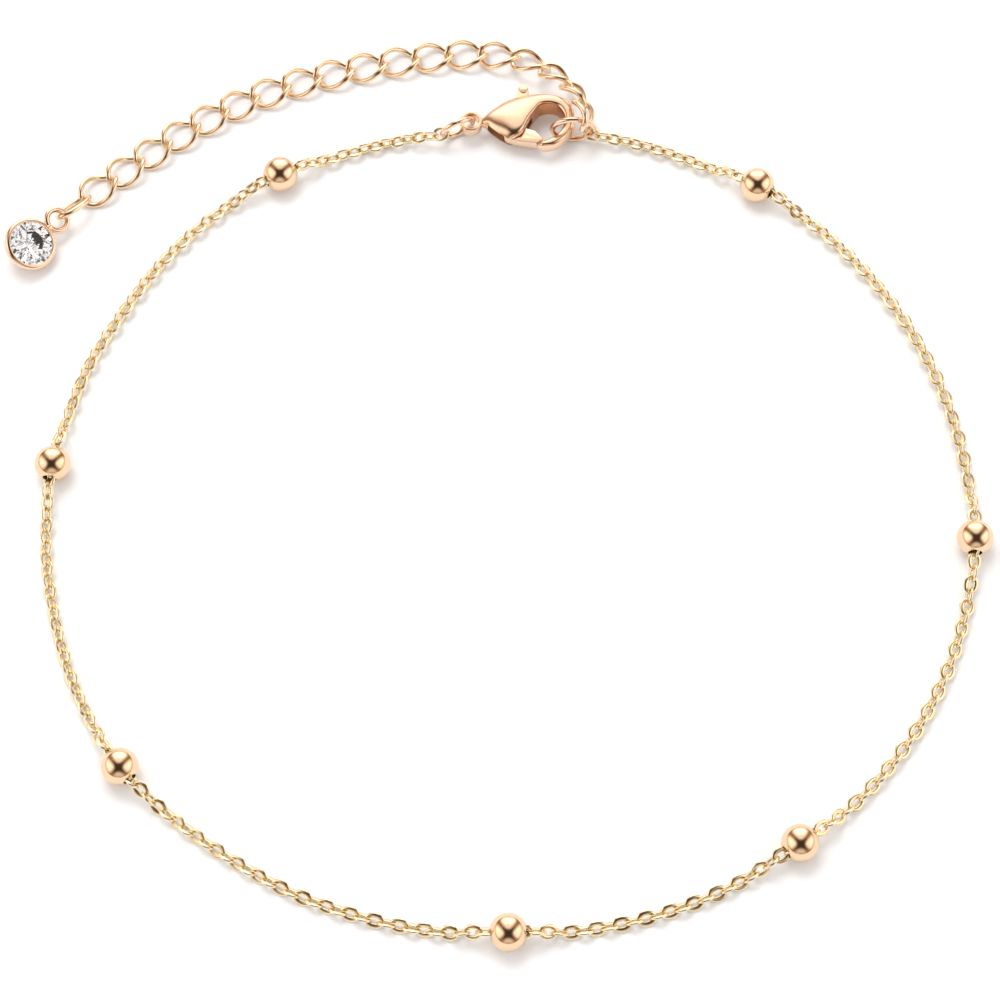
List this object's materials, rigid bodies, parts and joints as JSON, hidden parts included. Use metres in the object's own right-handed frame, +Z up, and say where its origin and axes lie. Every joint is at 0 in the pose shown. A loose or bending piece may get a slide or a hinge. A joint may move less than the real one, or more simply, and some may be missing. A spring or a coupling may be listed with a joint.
{
  "type": "chain anklet",
  "caption": "Fine chain anklet with round beads along it, a lobster clasp with a sprung lever, and a curb link extension chain that ends in a small bezel set stone.",
  "frame": {"origin": "middle of the base of the whole anklet as it lies, on the surface it lies on", "axes": "+Z is up from the surface, +X runs to the right and +Y away from the wearer's view, towards the clasp"},
  "size_m": [0.0826, 0.0834, 0.0047],
  "materials": {
    "bead_1": "rose gold plated, polished",
    "bead_2": "rose gold plated, polished",
    "bead_3": "rose gold plated, polished",
    "bead_4": "rose gold plated, polished",
    "bead_5": "rose gold plated, polished",
    "bead_6": "rose gold plated, polished",
    "bead_7": "rose gold plated, polished",
    "chain": "gold plated, bright",
    "chain_end_link_left": "gold plated, bright",
    "chain_end_link_right": "gold plated, bright",
    "clasp_body": "rose gold plated, polished",
    "clasp_jump_ring": "rose gold plated, polished",
    "clasp_lever": "rose gold plated, polished",
    "drop_link": "rose gold plated, polished",
    "drop_setting": "rose gold plated, polished",
    "drop_stone": "faceted, clear",
    "end_jump_ring": "rose gold plated, polished",
    "extension_link_01": "rose gold plated, polished",
    "extension_link_02": "rose gold plated, polished",
    "extension_link_03": "rose gold plated, polished",
    "extension_link_04": "rose gold plated, polished",
    "extension_link_05": "rose gold plated, polished",
    "extension_link_06": "rose gold plated, polished",
    "extension_link_07": "rose gold plated, polished",
    "extension_link_08": "rose gold plated, polished",
    "extension_link_09": "rose gold plated, polished",
    "extension_link_10": "rose gold plated, polished",
    "extension_link_11": "rose gold plated, polished",
    "extension_link_12": "rose gold plated, polished",
    "extension_link_13": "rose gold plated, polished",
    "extension_link_14": "rose gold plated, polished",
    "extension_link_15": "rose gold plated, polished",
    "extension_link_16": "rose gold plated, polished",
    "extension_link_17": "rose gold plated, polished",
    "extension_link_18": "rose gold plated, polished"
  },
  "bodies": {
    "anklet": {"bead_1": "bead_1", "bead_2": "bead_2", "bead_3": "bead_3", "bead_4": "bead_4", "bead_5": "bead_5", "bead_6": "bead_6", "bead_7": "bead_7", "chain": "chain", "chain_end_link_left": "chain_end_link_left", "chain_end_link_right": "chain_end_link_right", "clasp_body": "clasp_body", "clasp_jump_ring": "clasp_jump_ring", "drop_link": "drop_link", "drop_setting": "drop_setting", "drop_stone": "drop_stone", "end_jump_ring": "end_jump_ring", "extension_link_01": "extension_link_01", "extension_link_02": "extension_link_02", "extension_link_03": "extension_link_03", "extension_link_04": "extension_link_04", "extension_link_05": "extension_link_05", "extension_link_06": "extension_link_06", "extension_link_07": "extension_link_07", "extension_link_08": "extension_link_08", "extension_link_09": "extension_link_09", "extension_link_10": "extension_link_10", "extension_link_11": "extension_link_11", "extension_link_12": "extension_link_12", "extension_link_13": "extension_link_13", "extension_link_14": "extension_link_14", "extension_link_15": "extension_link_15", "extension_link_16": "extension_link_16", "extension_link_17": "extension_link_17", "extension_link_18": "extension_link_18"},
    "lever": {"clasp_lever": "clasp_lever"}
  },
  "joints": [
    {"name": "lever_hinge", "type": "hinge", "parent": "anklet", "child": "lever", "pos_m": [0.0019, 0.03148, 0.00148], "axis": [0, 0, 1], "range_deg": [0, 26], "stiffness_Nm_per_rad": 0.0002, "springref_deg": -11.46}
  ]
}
